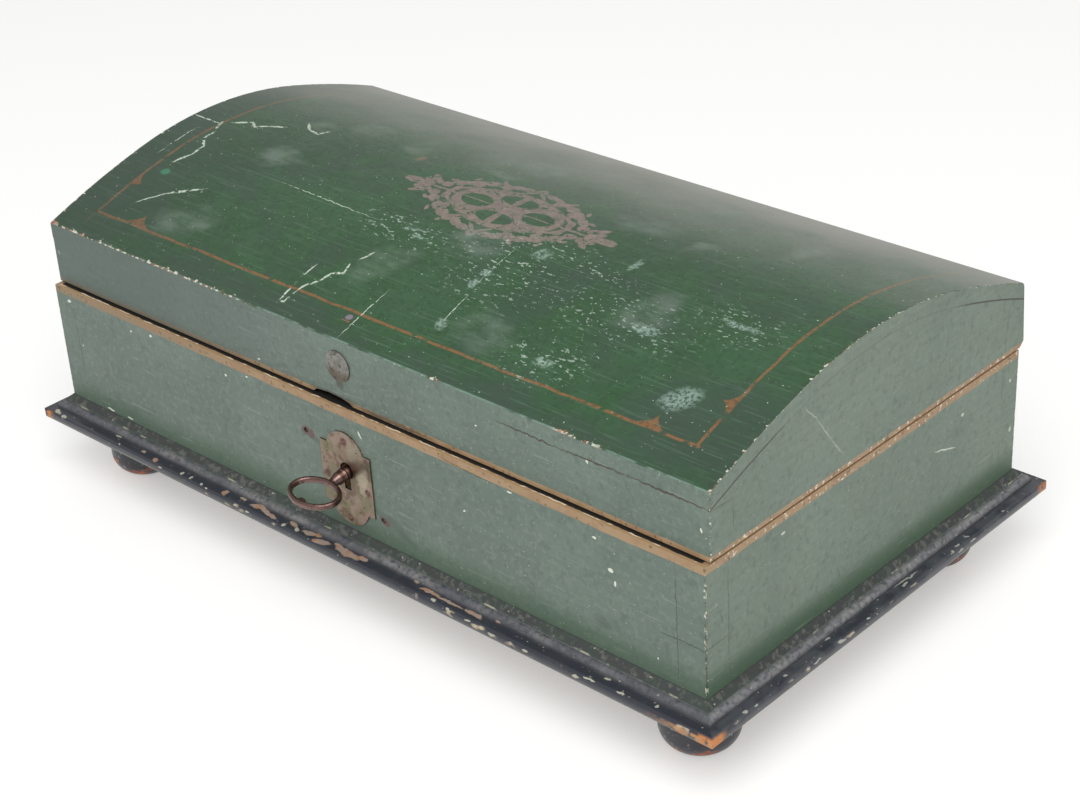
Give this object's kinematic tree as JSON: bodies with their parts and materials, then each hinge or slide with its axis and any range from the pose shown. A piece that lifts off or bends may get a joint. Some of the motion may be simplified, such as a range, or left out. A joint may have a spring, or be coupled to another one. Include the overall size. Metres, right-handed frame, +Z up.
{
  "type": "keepsake box",
  "caption": "Low wooden keepsake box with an arched lid on two hinges, a moulded base on turned ball feet, and a front lock with its ring-bow key.",
  "frame": {"origin": "on the floor, under the middle of the whole object from the back of its base to the front of the key's bow", "axes": "+Z up; the front with the lock faces -Y; +X to the right as seen from the front"},
  "size_m": [0.424, 0.2564, 0.1598],
  "materials": {
    "green_wood": "worn oil paint, grey-green",
    "black_wood": "worn black oil paint",
    "iron": "dark wrought iron with old rust",
    "brass": "tarnished sheet brass"
  },
  "bodies": {
    "carcass": {"front_board": "green_wood", "back_board": "green_wood", "right_end": "green_wood", "left_end": "green_wood", "base_board": "black_wood", "foot_front_left": "black_wood", "foot_front_right": "black_wood", "foot_back_left": "black_wood", "foot_back_right": "black_wood", "corner_nails": "iron", "base_nails": "iron", "hinge_leaf_carcass_left": "iron", "hinge_leaf_carcass_right": "iron", "hinge_pin_left": "iron", "hinge_pin_right": "iron", "carcass_hinge_screws": "iron", "escutcheon": "brass", "escutcheon_pins": "brass", "lock_case": "iron", "lock_screws": "iron", "drill_pin": "iron", "catch_pin": "iron", "catch_spring": "iron"},
    "lid": {"lid_top": "green_wood", "lid_front_rail": "green_wood", "lid_back_rail": "green_wood", "lid_right_end": "green_wood", "lid_left_end": "green_wood", "lid_top_nails": "iron", "lid_rail_nails": "iron", "hinge_leaf_lid_left": "iron", "hinge_leaf_lid_right": "iron", "lid_hinge_screws": "iron", "lid_staple": "iron", "staple_nails": "iron", "lid_stud": "brass"},
    "key": {"key": "iron"},
    "catch": {"lock_catch": "iron"}
  },
  "joints": [
    {"name": "lid_hinge", "type": "hinge", "parent": "carcass", "child": "lid", "pos_m": [0, 0.11624, 0.1039], "axis": [-1, 0, 0], "range_deg": [0, 130]},
    {"name": "key_turn", "type": "hinge", "parent": "carcass", "child": "key", "pos_m": [0.0024, -0.10056, 0.0728], "axis": [0, 0.9936, 0.1132], "range_deg": [0, 45]},
    {"name": "catch_turn", "type": "hinge", "parent": "carcass", "child": "catch", "pos_m": [0.0254, -0.07926, 0.07523], "axis": [0, 1, 0], "range_deg": [-24, 0]}
  ],
  "couplings": [
    {"joint": "catch_turn", "follows": "key_turn", "ratio": -0.53333}
  ]
}
